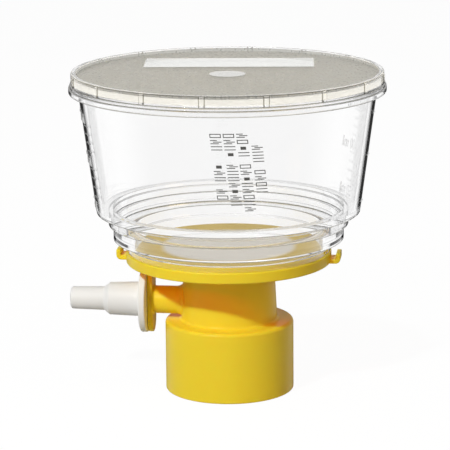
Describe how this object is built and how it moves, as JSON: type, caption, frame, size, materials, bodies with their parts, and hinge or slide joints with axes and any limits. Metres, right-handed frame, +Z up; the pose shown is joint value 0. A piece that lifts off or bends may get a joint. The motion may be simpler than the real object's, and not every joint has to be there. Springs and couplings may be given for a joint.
{
  "type": "vacuum filtration unit",
  "caption": "Bottle-top vacuum filter: clear tapered bowl with a lid, membrane on a ribbed support, yellow base with a screw collar and a side arm with a hose connector.",
  "frame": {"origin": "centre of the screw collar's bottom face, on the collar's axis", "axes": "+Z up the axis of collar and bowl; the side arm and hose connector point along -X"},
  "size_m": [0.0869, 0.0858, 0.0887],
  "materials": {
    "yellow_plastic": "opaque yellow moulded polystyrene, satin",
    "gasket_rubber": "pale grey silicone rubber",
    "filter_membrane": "matt white polymer membrane",
    "clear_plastic": "clear polished polystyrene",
    "frosted_plastic": "clear polystyrene with a frosted top face",
    "white_plastic": "white moulded polypropylene, satin",
    "cotton_wool": "packed white cotton"
  },
  "bodies": {
    "root": {"base": "yellow_plastic", "neck_gasket": "gasket_rubber", "membrane": "filter_membrane", "bowl": "clear_plastic", "lid": "frosted_plastic", "hose_connector": "white_plastic", "cotton_plug": "cotton_wool"}
  },
  "joints": []
}
